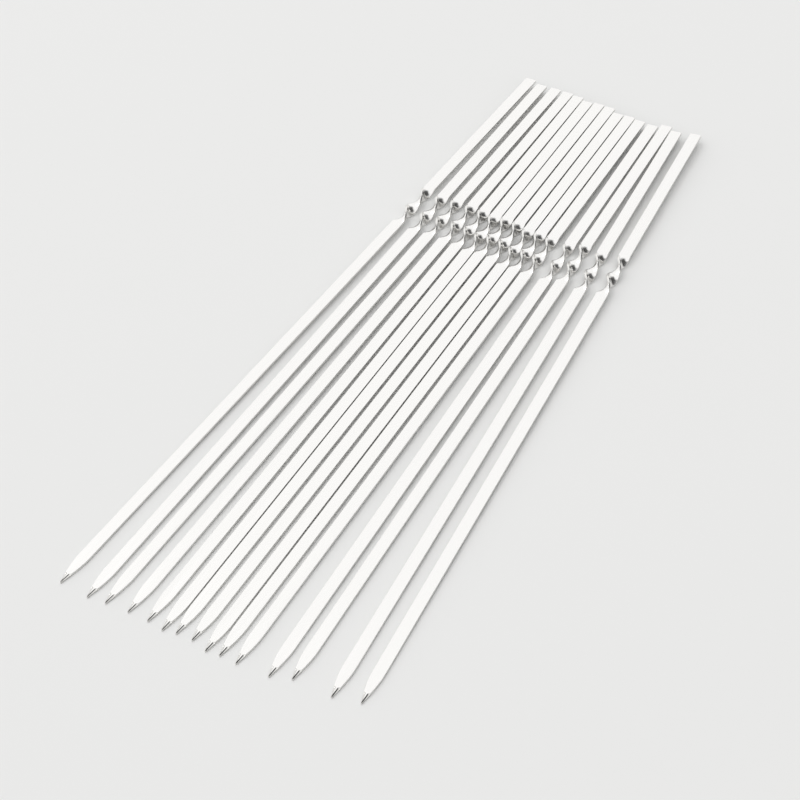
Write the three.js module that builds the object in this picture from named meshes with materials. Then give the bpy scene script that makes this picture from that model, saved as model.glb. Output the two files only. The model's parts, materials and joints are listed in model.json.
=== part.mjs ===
/**
 * A set of fifteen flat kebab skewers, laid side by side in a slightly fanned row.
 *
 * Each skewer is one piece of stainless steel strip. A long flat blade ends in an ogive
 * shoulder and a point with four ground facets. One full left-handed twist stops the food
 * and gives the fingers a grip, and the flat handle beyond it is cut off square. A skewer
 * rests on its nose and on the lower edge of its twist, so its handle end stands a little
 * off the surface.
 *
 * Millimetres, +Z up, +Y along the middle skewer from its point to its handle.
 */
import * as THREE from 'three';

// Strip
const stripWidth = 5;
const stripThickness = 1;
const edgeBreak = 0.12;

// Lengths along one skewer, from the nose of the point to the handle end
const bladeLength = 255.5;
const twistPitch = 27;
const twistRunIn = 3;
const handleLength = 94.5;

// Shoulder, point and handle end
const shoulderLength = 17;
const shoulderSteps = 12;
const stationCrowding = 1.4;
const noseWidth = 0.4;
const noseRadius = 0.15;
const pointLength = 5.5;
const facetReach = 0.38;
const facetShare = 0.75;
const facetAngle = THREE.MathUtils.degToRad(40);
const handleCornerRadius = 0.5;
const cornerSteps = 3;

// Twist: one turn, left-handed, so the near strand climbs from the right edge to the left
const twistTurns = -1;
const twistSteps = 30;

// Row: clear room between neighbours, as shares of the strip's width beyond the least gap
const layingClearance = 0.35;
const twistGapShares = [0.58, 0.37, 0.37, 0.2, 0.1, 0.01, 0.09, 0.1, 0.03, 0.11, 0.64, 0.21, 0.67, 0.77];
const handleGapShares = [0.2, 0.33, 0.15, 0, 0, 0, 0, 0, 0.01, 0, 0.22, 0.06, 0.02, 0.63];

// Row: how far each skewer is pushed up or pulled back, as shares of one stagger
const stagger = 5;
const staggerShares = [1.05, 0.58, 0.6, 0.52, 0.33, -0.04, 0.1, 0, -0.58, -0.54, -0.75, -0.9, -0.4, -0.85, -0.46];

// Lengths that follow from the sizes above
const skewerCount = staggerShares.length;
const middleSkewer = Math.floor(skewerCount / 2);
const twistLength = twistPitch + twistRunIn;
const skewerLength = bladeLength + twistLength + handleLength;
const twistCentre = bladeLength + twistLength / 2;
const halfWidth = stripWidth / 2;
const halfThickness = stripThickness / 2;

// Half width of the blade at a distance from the nose: a sine ogive that meets the strip's
// edges without a corner, closed by a small round nose
function bladeHalfWidth(distance) {
  const share = Math.min(distance / shoulderLength, 1);
  const ogive = THREE.MathUtils.lerp(noseWidth / 2, halfWidth, Math.sin((share * Math.PI) / 2));
  const shortfall = Math.max(noseRadius - distance, 0);
  const rounding = noseRadius - Math.sqrt(noseRadius ** 2 - shortfall ** 2);
  return ogive - rounding;
}

// Width of the facet ground along each long edge of the point: a shallow scoop left by the
// wheel, widest at its middle, that runs out into the broken edge of the blade. It always leaves
// a share of the face flat.
function facetWidth(distance) {
  const share = Math.min(distance / pointLength, 1);
  const scoop = edgeBreak + facetReach * Math.sin(share * Math.PI);
  return Math.min(scoop, bladeHalfWidth(distance) * facetShare);
}

// One cross-section of the strip: where it stands, how wide it is, how wide and deep its long
// edges are bevelled, and how far it is turned
function station(distance, half, bevelWidth, bevelDepth, turn) {
  return { distance, half, bevelWidth, bevelDepth, turn };
}

// Sections from the nose to the end of the shoulder
function pointStations() {
  const distances = [0, noseRadius / 2, noseRadius];
  for (let step = 1; step <= shoulderSteps; step += 1) {
    const share = (step / shoulderSteps) ** stationCrowding;
    distances.push(THREE.MathUtils.lerp(noseRadius, shoulderLength, share));
  }
  return distances.map((distance) => {
    const width = facetWidth(distance);
    const depth = Math.max(width * Math.tan(facetAngle), edgeBreak);
    return station(distance, bladeHalfWidth(distance), width, depth, 0);
  });
}

// Share of the whole turn reached at a distance into the twist. The rate runs in over a short
// length at each end and is even between, so the pitch is steady.
function turnShare(into) {
  const fromEnd = Math.min(into, twistLength - into);
  const runIn = fromEnd < twistRunIn
    ? fromEnd ** 2 / (2 * twistRunIn * twistPitch)
    : (fromEnd - twistRunIn / 2) / twistPitch;
  return into < twistLength / 2 ? runIn : 1 - runIn;
}

// Sections through the twist, with its two flat ends
function twistStations() {
  const stations = [];
  for (let step = 0; step <= twistSteps; step += 1) {
    const into = (twistLength * step) / twistSteps;
    const turn = twistTurns * 2 * Math.PI * turnShare(into);
    stations.push(station(bladeLength + into, halfWidth, edgeBreak, edgeBreak, turn));
  }
  return stations;
}

// Sections round the two corners of the square handle end
function handleStations() {
  const stations = [];
  for (let step = 0; step <= cornerSteps; step += 1) {
    const angle = (step / cornerSteps) * (Math.PI / 2);
    const distance = skewerLength - handleCornerRadius * (1 - Math.sin(angle));
    const half = halfWidth - handleCornerRadius * (1 - Math.cos(angle));
    stations.push(station(distance, half, edgeBreak, edgeBreak, 0));
  }
  return stations;
}

// Corners of one section: a flat rectangle with its four long edges broken
function sectionCorners({ distance, half, bevelWidth, bevelDepth, turn }) {
  const face = halfThickness;
  const flat = half - bevelWidth;
  const side = face - bevelDepth;
  const outline = [
    [half, -side], [half, side], [flat, face], [-flat, face],
    [-half, side], [-half, -side], [-flat, -face], [flat, -face],
  ];
  const axis = new THREE.Vector3(0, 1, 0);
  return outline.map(([across, up]) => new THREE.Vector3(across, distance, up).applyAxisAngle(axis, turn));
}

// Closed skin through a run of sections, with a flat cap on each end
function loft(stations) {
  const corners = stations.map(sectionCorners);
  const count = corners[0].length;
  const indices = [];
  for (let ring = 0; ring < corners.length - 1; ring += 1) {
    for (let side = 0; side < count; side += 1) {
      const near = ring * count + side;
      const nearNext = ring * count + ((side + 1) % count);
      indices.push(near, near + count, nearNext, nearNext, near + count, nearNext + count);
    }
  }
  const lastRing = (corners.length - 1) * count;
  for (let side = 1; side < count - 1; side += 1) {
    indices.push(0, side, side + 1);
    indices.push(lastRing, lastRing + side + 1, lastRing + side);
  }
  const geometry = new THREE.BufferGeometry().setFromPoints(corners.flat());
  geometry.setIndex(indices);
  geometry.computeVertexNormals();
  return geometry;
}

// One skewer lying flat along +Y, nose at the origin
function skewerGeometry() {
  return loft([...pointStations(), ...twistStations(), ...handleStations()]);
}

// Tilt that brings the lowest edge of the twist level with the underside of the nose
function restingTilt(geometry) {
  const positions = geometry.getAttribute('position');
  let tilt = 0;
  for (let index = 0; index < positions.count; index += 1) {
    const drop = -halfThickness - positions.getZ(index);
    tilt = Math.max(tilt, Math.atan2(drop, positions.getY(index)));
  }
  return tilt;
}

// The skewer as it lies on a surface, turned about the middle of its twist
function restingGeometry() {
  const geometry = skewerGeometry();
  geometry.rotateX(restingTilt(geometry));
  geometry.computeBoundingBox();
  return geometry.translate(0, -twistCentre, -geometry.boundingBox.min.z);
}

// Bright stainless steel, rolled and polished
function stainlessSteel() {
  return new THREE.MeshStandardMaterial({
    name: 'stainless_steel',
    color: 0xdedede,
    metalness: 1,
    roughness: 0.2,
    flatShading: true,
  });
}

// Places along the row. Neighbours keep their own gap at the twist and at the handle end, and
// the difference between the two gaps is what fans the blades apart.
function rowPlaces() {
  const handleReach = twistLength / 2 + handleLength;
  const places = [{ across: 0, turn: 0 }];
  for (let index = 1; index < skewerCount; index += 1) {
    const before = places[index - 1];
    const twistGap = layingClearance + twistGapShares[index - 1] * stripWidth;
    const handleGap = layingClearance + handleGapShares[index - 1] * stripWidth;
    places.push({
      across: before.across + stripWidth + twistGap,
      turn: before.turn + Math.atan2(twistGap - handleGap, handleReach),
    });
  }
  const middle = places[middleSkewer];
  return places.map(({ across, turn }, index) => ({
    across: across - middle.across,
    along: staggerShares[index] * stagger,
    turn: turn - middle.turn,
  }));
}

// The row, with the middle of its base at the origin
function skewerRow() {
  const row = new THREE.Group();
  rowPlaces().forEach(({ across, along, turn }, index) => {
    const skewer = new THREE.Mesh(restingGeometry(), stainlessSteel());
    skewer.name = `skewer_${String(index + 1).padStart(2, '0')}`;
    skewer.position.set(across, along, 0);
    skewer.rotation.z = turn;
    row.add(skewer);
  });
  row.updateMatrixWorld(true);
  const bounds = new THREE.Box3().setFromObject(row, true);
  const centre = bounds.getCenter(new THREE.Vector3());
  row.position.set(-centre.x, -centre.y, -bounds.min.z);
  return row;
}

const kebabSkewers = skewerRow();

export default kebabSkewers;
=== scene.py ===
import json
import math

import bmesh
import bpy
import numpy as np
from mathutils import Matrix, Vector

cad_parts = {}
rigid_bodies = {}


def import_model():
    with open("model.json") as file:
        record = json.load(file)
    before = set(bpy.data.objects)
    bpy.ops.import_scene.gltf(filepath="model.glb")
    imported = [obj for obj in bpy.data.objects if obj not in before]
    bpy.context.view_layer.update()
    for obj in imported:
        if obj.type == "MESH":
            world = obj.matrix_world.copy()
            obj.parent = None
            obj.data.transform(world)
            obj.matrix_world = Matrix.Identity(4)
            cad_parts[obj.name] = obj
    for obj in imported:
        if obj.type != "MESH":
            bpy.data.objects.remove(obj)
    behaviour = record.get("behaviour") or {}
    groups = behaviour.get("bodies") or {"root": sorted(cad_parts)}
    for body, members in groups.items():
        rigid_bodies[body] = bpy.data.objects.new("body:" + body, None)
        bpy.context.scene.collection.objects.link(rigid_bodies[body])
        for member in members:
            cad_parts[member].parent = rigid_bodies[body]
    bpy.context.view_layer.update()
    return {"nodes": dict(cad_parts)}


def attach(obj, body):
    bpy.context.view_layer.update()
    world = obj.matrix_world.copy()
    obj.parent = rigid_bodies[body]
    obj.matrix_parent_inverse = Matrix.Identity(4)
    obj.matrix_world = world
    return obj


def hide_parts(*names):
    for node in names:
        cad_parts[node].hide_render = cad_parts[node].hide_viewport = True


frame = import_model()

MM = 0.001

# Camera
# A long lens on a level camera looks down along the blades from the side of their points,
# turned a little to the right of the row.
LENS = 144
VIEW_DISTANCE = 1269 * MM
VIEW_ELEVATION = math.radians(39.12)
VIEW_TURN = math.radians(26.4)
AIM = Vector((0.6, -32.4, 0)) * MM

to_camera = Vector((
    math.sin(VIEW_TURN) * math.cos(VIEW_ELEVATION),
    -math.cos(VIEW_TURN) * math.cos(VIEW_ELEVATION),
    math.sin(VIEW_ELEVATION),
))
bpy.ops.object.camera_add(
    location=AIM + to_camera * VIEW_DISTANCE,
    rotation=to_camera.to_track_quat("Z", "Y").to_euler(),
)
camera = bpy.context.object
camera.data.lens = LENS
bpy.context.scene.camera = camera

# Punched blank
# Each skewer starts as a blank punched out of 1 mm cold-rolled stainless strip. The blade end
# has an ogive outline and a small round nose, and tumbling has broken every edge of the blank.
STRIP_WIDTH = 5 * MM
STRIP_THICKNESS = 1 * MM
SKEWER_LENGTH = 380 * MM
SHOULDER_LENGTH = 17 * MM
SHOULDER_STEPS = 24
STATION_CROWDING = 1.4
NOSE_WIDTH = 0.4 * MM
NOSE_RADIUS = 0.15 * MM
NOSE_STEPS = 4
EDGE_BREAK = 0.12 * MM
EDGE_SEGMENTS = 3
CORNER_RADIUS = 0.5 * MM
CORNER_SEGMENTS = 4
LYING = 0.9
UPRIGHT = 0.1
TINY = 0.001 * MM


def blade_half_width(distance):
    """Half width of the blank at a distance from its nose."""
    share = min(distance / SHOULDER_LENGTH, 1)
    ogive = NOSE_WIDTH / 2 + (STRIP_WIDTH - NOSE_WIDTH) / 2 * math.sin(share * math.pi / 2)
    shortfall = max(NOSE_RADIUS - distance, 0)
    return ogive - NOSE_RADIUS + math.sqrt(NOSE_RADIUS ** 2 - shortfall ** 2)


def choose(kind, test):
    """Selects only the vertices, edges or faces in edit mode that pass a test."""
    bpy.ops.mesh.select_mode(type=kind)
    bpy.ops.mesh.select_all(action="DESELECT")
    mesh = bpy.context.object.data
    shape = bmesh.from_edit_mesh(mesh)
    for item in {"VERT": shape.verts, "EDGE": shape.edges, "FACE": shape.faces}[kind]:
        if test(item):
            item.select_set(True)
    bmesh.update_edit_mesh(mesh)


def cut(place, normal):
    """Cuts the whole mesh in edit mode with a plane."""
    bpy.ops.mesh.select_all(action="SELECT")
    bpy.ops.mesh.bisect(plane_co=place, plane_no=normal, threshold=TINY / 10)


def at_distance(distance):
    """Test for the vertices of the cross-section at a distance from the nose."""
    return lambda vertex: abs(vertex.co.y - distance) < TINY


def is_outline(edge):
    """Test for the edges between a broad face, which lies flat, and the upright side."""
    flatness = [abs(face.normal.z) for face in edge.link_faces]
    return max(flatness) > LYING and min(flatness) < UPRIGHT


def is_end_corner(edge):
    """Test for the two upright edges at the square handle end."""
    at_end = at_distance(SKEWER_LENGTH)
    start, end = edge.verts
    return at_end(start) and at_end(end) and abs(start.co.z - end.co.z) > TINY


bpy.ops.object.select_all(action="DESELECT")
bpy.ops.mesh.primitive_cube_add(size=1, location=(0, SKEWER_LENGTH / 2, 0))
blank = bpy.context.object
blank.name = "skewer_blank"
blank.scale = (STRIP_WIDTH, SKEWER_LENGTH, STRIP_THICKNESS)
bpy.ops.object.transform_apply(location=True, rotation=True, scale=True)

bpy.ops.object.mode_set(mode="EDIT")
shoulder = [
    NOSE_RADIUS * (1 - math.cos(math.pi / 2 * step / NOSE_STEPS)) for step in range(NOSE_STEPS + 1)
]
for step in range(1, SHOULDER_STEPS + 1):
    reach = (step / SHOULDER_STEPS) ** STATION_CROWDING
    shoulder.append(NOSE_RADIUS + (SHOULDER_LENGTH - NOSE_RADIUS) * reach)
for distance in shoulder[1:]:
    cut((0, distance, 0), (0, 1, 0))
for distance in shoulder:
    choose("VERT", at_distance(distance))
    narrowing = blade_half_width(distance) / (STRIP_WIDTH / 2)
    bpy.ops.transform.resize(value=(narrowing, 1, 1), center_override=(0, distance, 0))
choose("EDGE", is_end_corner)
bpy.ops.mesh.bevel(offset=CORNER_RADIUS, segments=CORNER_SEGMENTS, affect="EDGES")
choose("EDGE", is_outline)
bpy.ops.mesh.bevel(
    offset=EDGE_BREAK, segments=EDGE_SEGMENTS, affect="EDGES", loop_slide=False
)
bpy.ops.object.mode_set(mode="OBJECT")


# Finishes
# One grade of 18/10 stainless steel in three finishes: rolled and polished on the broad faces,
# sheared and tumbled on the sides, and bright from the stone in the grooves of the point.
def linear(hex_colour):
    """Turns an sRGB hex colour into the linear colour a shader takes."""
    channels = [int(hex_colour[place:place + 2], 16) / 255 for place in (1, 3, 5)]
    return (*[c / 12.92 if c <= 0.04045 else ((c + 0.055) / 1.055) ** 2.4 for c in channels], 1)


def add_node(tree, kind, settings, sockets):
    """Adds a node with its settings, and sets or links each of its named input sockets."""
    node = tree.nodes.new(kind)
    for name, value in settings.items():
        setattr(node, name, value)
    for name, value in sockets.items():
        if isinstance(value, bpy.types.NodeSocket):
            tree.links.new(value, node.inputs[name])
        else:
            node.inputs[name].default_value = value
    return node


def steel(name, colour):
    """Starts a stainless steel material: its node tree, shader and place on the flat strip."""
    material = bpy.data.materials.new(name)
    material.use_nodes = True
    tree = material.node_tree
    shader = tree.nodes["Principled BSDF"]
    shader.inputs["Base Color"].default_value = linear(colour)
    shader.inputs["Metallic"].default_value = 1
    place = add_node(tree, "ShaderNodeAttribute", {"attribute_name": "flat_place"}, {})
    return material, tree, shader, place.outputs["Vector"]


# Cold-rolled and belt-polished along the strip: nearly a mirror, blurred a little across it by
# polishing lines. They are drawn 0.5 mm apart, coarser than real ones, so that they show.
polished_stainless, tree, shader, place = steel("polished_stainless", "#EDECEA")
POLISH_LINE = 0.5 * MM
POLISH_LINE_LENGTH = 45 * MM
lines_place = add_node(tree, "ShaderNodeVectorMath", {"operation": "MULTIPLY"}, {
    0: place, 1: (1 / POLISH_LINE, 1 / POLISH_LINE_LENGTH, 0)})
lines = add_node(tree, "ShaderNodeTexNoise", {}, {
    "Vector": lines_place.outputs[0], "Scale": 1, "Detail": 2, "Roughness": 0.6})
lines_roughness = add_node(tree, "ShaderNodeMapRange", {}, {
    "Value": lines.outputs[0], "From Min": 0.3, "From Max": 0.7, "To Min": 0.15, "To Max": 0.27})
tree.links.new(lines_roughness.outputs[0], shader.inputs["Roughness"])
lines_bump = add_node(tree, "ShaderNodeBump", {}, {
    "Height": lines.outputs[0], "Distance": 0.003 * MM, "Strength": 1})
tree.links.new(lines_bump.outputs[0], shader.inputs["Normal"])

# Sheared by the punch, then tumbled: satin, with a bright burnished band where the punch
# entered and a duller fracture below it, broken up by fine upright lines.
sheared_stainless, tree, shader, place = steel("sheared_stainless", "#E4E3E0")
SHEAR_LINE = 0.6 * MM
BURNISH_SHARE = 0.35
shear_place = add_node(tree, "ShaderNodeVectorMath", {"operation": "MULTIPLY"}, {
    0: place, 1: (1 / SHEAR_LINE, 1 / SHEAR_LINE, 0)})
shear_lines = add_node(tree, "ShaderNodeTexNoise", {}, {
    "Vector": shear_place.outputs[0], "Scale": 1, "Detail": 1})
depth = add_node(tree, "ShaderNodeSeparateXYZ", {}, {0: place})
fracture = add_node(tree, "ShaderNodeMapRange", {}, {
    "Value": depth.outputs["Z"],
    "From Min": STRIP_THICKNESS * (0.45 - BURNISH_SHARE),
    "From Max": STRIP_THICKNESS * (0.55 - BURNISH_SHARE),
    "To Min": 0.36, "To Max": 0.22})
shear_roughness = add_node(tree, "ShaderNodeMath", {"operation": "MULTIPLY_ADD"}, {
    0: shear_lines.outputs[0], 1: 0.12, 2: fracture.outputs[0]})
tree.links.new(shear_roughness.outputs[0], shader.inputs["Roughness"])
shear_bump = add_node(tree, "ShaderNodeBump", {}, {
    "Height": shear_lines.outputs[0], "Distance": 0.02 * MM, "Strength": 1})
tree.links.new(shear_bump.outputs[0], shader.inputs["Normal"])

# Hollow-ground with a fine stone: bright, so that each groove shows a dark and a light stroke,
# with faint lines along it. They are drawn 0.3 mm apart, coarser than real ones.
ground_stainless, tree, shader, place = steel("ground_stainless", "#D6D5D2")
STONE_LINE = 0.3 * MM
groove_place = add_node(tree, "ShaderNodeVectorMath", {"operation": "MULTIPLY"}, {
    0: place, 1: (1 / STONE_LINE, 0.1 / STONE_LINE, 1 / STONE_LINE)})
stone_lines = add_node(tree, "ShaderNodeTexNoise", {}, {
    "Vector": groove_place.outputs[0], "Scale": 1, "Detail": 2})
stone_roughness = add_node(tree, "ShaderNodeMapRange", {}, {
    "Value": stone_lines.outputs[0], "To Min": 0.1, "To Max": 0.18})
tree.links.new(stone_roughness.outputs[0], shader.inputs["Roughness"])
stone_bump = add_node(tree, "ShaderNodeBump", {}, {
    "Height": stone_lines.outputs[0], "Distance": 0.01 * MM, "Strength": 1})
tree.links.new(stone_bump.outputs[0], shader.inputs["Normal"])

SIDE_SLOPE = math.radians(60)
for finish in (polished_stainless, sheared_stainless, ground_stainless):
    blank.data.materials.append(finish)
bpy.ops.object.mode_set(mode="EDIT")
choose("FACE", lambda face: abs(face.normal.z) < math.cos(SIDE_SLOPE))
blank.active_material_index = blank.data.materials.find(sheared_stainless.name)
bpy.ops.object.material_slot_assign()
bpy.ops.object.mode_set(mode="OBJECT")

# Ground point
# A small round-ended stone hollow-grinds each of the four long edges at the nose. It starts
# beside the centre line and is drawn off over the nose, and the two grooves of a face leave a
# ridge between them.
GROOVE_START = 4.8 * MM
GROOVE_OFFSET = 0.33 * MM
NOSE_OVERLAP = 0.12 * MM
WALL_ANGLE = math.radians(48)
STONE_RADIUS = 1 * MM
STONE_LENGTH = 7 * MM
STONE_SEGMENTS = 96
STONE_RINGS = 32

for side in (1, -1):
    for face in (1, -1):
        wall_start = Vector((side * GROOVE_OFFSET, GROOVE_START, face * STRIP_THICKNESS / 2))
        wall_end = Vector((-side * NOSE_OVERLAP, 0, face * STRIP_THICKNESS / 2))
        run = (wall_end - wall_start).normalized()
        sideways = Vector((-side * run.y, side * run.x, 0))
        upwards = Vector((0, 0, face))
        lean = sideways * math.sin(WALL_ANGLE) + upwards * math.cos(WALL_ANGLE)
        bpy.ops.object.select_all(action="DESELECT")
        bpy.ops.mesh.primitive_uv_sphere_add(
            radius=STONE_RADIUS, segments=STONE_SEGMENTS, ring_count=STONE_RINGS,
            location=wall_start + lean * STONE_RADIUS,
            rotation=run.to_track_quat("Z", "Y").to_euler(),
        )
        stone = bpy.context.object
        stone.data.materials.append(ground_stainless)
        bpy.ops.object.mode_set(mode="EDIT")
        choose("VERT", lambda vertex: vertex.co.z > TINY)
        bpy.ops.transform.translate(value=run * STONE_LENGTH)
        bpy.ops.object.mode_set(mode="OBJECT")
        bpy.context.view_layer.objects.active = blank
        grind = blank.modifiers.new("grind", "BOOLEAN")
        grind.operation = "DIFFERENCE"
        grind.object = stone
        grind.material_mode = "TRANSFER"
        bpy.ops.object.modifier_apply(modifier=grind.name)
        bpy.data.objects.remove(stone)

bpy.ops.object.mode_set(mode="EDIT")
bpy.ops.mesh.select_all(action="SELECT")
bpy.ops.mesh.remove_doubles(threshold=TINY / 10)
bpy.ops.object.mode_set(mode="OBJECT")

# Twist
# The strip is gripped and turned once, left-handed, over 30 mm. The turn runs in over a short
# length at each end and is even between, and it stops the food and gives the fingers a grip.
BLADE_LENGTH = 255.5 * MM
TWIST_PITCH = 27 * MM
TWIST_RUN_IN = 3 * MM
TWIST_STEPS = 96
TWIST_LENGTH = TWIST_PITCH + TWIST_RUN_IN
FACE_STRIPS = 6
SHARP_ANGLE = math.radians(28)


def turn_share(into):
    """Share of the whole turn reached at a distance into the twist."""
    from_end = min(into, TWIST_LENGTH - into)
    if from_end < TWIST_RUN_IN:
        share = from_end ** 2 / (2 * TWIST_RUN_IN * TWIST_PITCH)
    else:
        share = (from_end - TWIST_RUN_IN / 2) / TWIST_PITCH
    return share if into < TWIST_LENGTH / 2 else 1 - share


bpy.ops.object.select_all(action="DESELECT")
blank.select_set(True)
bpy.context.view_layer.objects.active = blank
bpy.ops.object.mode_set(mode="EDIT")
for strip in range(1, FACE_STRIPS):
    cut((STRIP_WIDTH * (strip / FACE_STRIPS - 0.5), 0, 0), (1, 0, 0))
twist_stations = [TWIST_LENGTH * step / TWIST_STEPS for step in range(TWIST_STEPS + 1)]
for into in twist_stations:
    cut((0, BLADE_LENGTH + into, 0), (0, 1, 0))
bpy.ops.object.mode_set(mode="OBJECT")

flat_places = np.empty(len(blank.data.vertices) * 3, np.float32)
blank.data.vertices.foreach_get("co", flat_places)
flat = blank.data.attributes.new("flat_place", "FLOAT_VECTOR", "POINT")
flat.data.foreach_set("vector", flat_places)

bpy.ops.object.mode_set(mode="EDIT")
for into in twist_stations[1:-1]:
    centre = (0, BLADE_LENGTH + into, 0)
    choose("VERT", at_distance(centre[1]))
    bpy.ops.transform.rotate(
        value=2 * math.pi * turn_share(into), orient_axis="Y", center_override=centre
    )
bpy.ops.object.mode_set(mode="OBJECT")
bpy.ops.object.shade_smooth_by_angle(angle=SHARP_ANGLE)
weighting = blank.modifiers.new("weighted_normals", "WEIGHTED_NORMAL")
weighting.keep_sharp = True
bpy.ops.object.modifier_apply(modifier=weighting.name)

# Fifteen skewers
# The skewers are loose and alike, and lie side by side in a slightly fanned row. Each rests on
# its nose and on the lower edge of its twist, where its solid lies in the frame, and takes its
# own piece of the polishing pattern.
POLISHING_STEP = 37 * MM

nodes = sorted(frame["nodes"])
for count, node in enumerate(nodes):
    solid = bpy.data.objects[node]
    corners = np.empty(len(solid.data.vertices) * 3, np.float32)
    solid.data.vertices.foreach_get("co", corners)
    corners = np.unique(np.round(corners.reshape(-1, 3).astype(float), 7), axis=0)
    middle = corners.mean(axis=0)
    along = np.linalg.svd(corners - middle, full_matrices=False)[2][0]
    along *= np.sign(along[1])
    nose = middle + along * ((corners - middle) @ along).min()

    bpy.ops.object.select_all(action="DESELECT")
    blank.select_set(True)
    bpy.context.view_layer.objects.active = blank
    bpy.ops.object.duplicate(linked=False)
    skewer = bpy.context.object
    skewer.name = f"{node}_strip"
    skewer.location = nose
    skewer.rotation_euler = (
        math.atan2(along[2], math.hypot(along[0], along[1])), 0, math.atan2(-along[0], along[1])
    )
    bpy.ops.object.transform_apply(location=True, rotation=True, scale=True)
    polishing = flat_places.reshape(-1, 3) + (count * POLISHING_STEP, 0, 0)
    skewer.data.attributes["flat_place"].data.foreach_set(
        "vector", polishing.astype(np.float32).ravel()
    )
    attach(skewer, "root")
    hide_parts(node)
bpy.data.objects.remove(blank)

# Floor
# A plain sheet of matt white card that takes the skewers' shadows. It is wide enough to fill
# every view.
FLOOR_WIDTH = 40
white_sheet = bpy.data.materials.new("white_sheet")
white_sheet.use_nodes = True
sheet_shader = white_sheet.node_tree.nodes["Principled BSDF"]
sheet_shader.inputs["Base Color"].default_value = linear("#E9E9E8")
sheet_shader.inputs["Roughness"].default_value = 0.9
sheet_shader.inputs["Specular IOR Level"].default_value = 0
bpy.ops.object.select_all(action="DESELECT")
bpy.ops.mesh.primitive_plane_add(size=FLOOR_WIDTH)
floor = bpy.context.object
floor.name = "floor"
floor.data.materials.append(white_sheet)

# Studio light
# A white tent stands round the skewers, brightest behind the row, where the broad faces mirror
# it to the camera, and dimmer in front. Behind the row on the right, a doorway in the tent is
# dark. A small softbox makes the shadows.
def towards(azimuth, elevation):
    """Unit vector to a place in the studio, by its angle round from +X and its height."""
    azimuth, elevation = math.radians(azimuth), math.radians(elevation)
    return Vector((
        math.cos(azimuth) * math.cos(elevation),
        math.sin(azimuth) * math.cos(elevation),
        math.sin(elevation),
    ))


def glow(tree, direction, centre, far, near, from_level, to_level):
    """Adds a level that changes smoothly between two angles from a place in the studio."""
    nearness = add_node(tree, "ShaderNodeVectorMath", {"operation": "DOT_PRODUCT"}, {
        0: direction, 1: centre})
    level = add_node(tree, "ShaderNodeMapRange", {"interpolation_type": "SMOOTHSTEP"}, {
        "Value": nearness.outputs["Value"], "From Min": math.cos(math.radians(far)),
        "From Max": math.cos(math.radians(near)), "To Min": from_level, "To Max": to_level})
    return level.outputs[0]


TENT_HEART = (100, 60)
TENT_FAR, TENT_NEAR = 115, 75
TENT_LEVEL = 1.12
TENT_FRONT_LEVEL = 0.6
DOORWAY_MIDDLE = (38, 0)
DOORWAY_FAR, DOORWAY_NEAR = 48, 22
ZENITH = (0, 90)
LINTEL_FAR, LINTEL_NEAR = 43, 28
DOORWAY_SHARE = 0.07
KEY_PLACE = (155, 58)
KEY_RADIANCE = 2.5
KEY_SIZE = 0.5
KEY_DISTANCE = 1.7

world = bpy.context.scene.world or bpy.data.worlds.new("studio")
bpy.context.scene.world = world
world.use_nodes = True
tree = world.node_tree
direction = add_node(tree, "ShaderNodeTexCoord", {}, {}).outputs["Generated"]
tent = glow(tree, direction, towards(*TENT_HEART), TENT_FAR, TENT_NEAR,
            TENT_FRONT_LEVEL, TENT_LEVEL)
compass = add_node(tree, "ShaderNodeVectorMath", {"operation": "MULTIPLY"}, {
    0: direction, 1: (1, 1, 0)})
heading = add_node(tree, "ShaderNodeVectorMath", {"operation": "NORMALIZE"}, {
    0: compass.outputs[0]})
sides = glow(tree, heading.outputs[0], towards(*DOORWAY_MIDDLE), DOORWAY_FAR, DOORWAY_NEAR, 0, 1)
lintel = glow(tree, direction, towards(*ZENITH), LINTEL_FAR, LINTEL_NEAR, 1, 0)
doorway = add_node(tree, "ShaderNodeMath", {"operation": "MULTIPLY"}, {0: sides, 1: lintel})
opening = add_node(tree, "ShaderNodeMapRange", {}, {
    "Value": doorway.outputs[0], "To Min": 1, "To Max": DOORWAY_SHARE})
studio = add_node(tree, "ShaderNodeMath", {"operation": "MULTIPLY"}, {
    0: tent, 1: opening.outputs[0]})
background = tree.nodes["Background"]
tree.links.new(studio.outputs[0], background.inputs["Color"])
background.inputs["Strength"].default_value = 1

key = towards(*KEY_PLACE)
bpy.ops.object.select_all(action="DESELECT")
bpy.ops.object.light_add(
    type="AREA", location=key * KEY_DISTANCE, rotation=key.to_track_quat("Z", "Y").to_euler(),
)
softbox = bpy.context.object
softbox.name = "softbox"
softbox.data.size = KEY_SIZE
softbox.data.energy = KEY_RADIANCE * math.pi * KEY_SIZE ** 2

bpy.context.scene.view_settings.view_transform = "Standard"
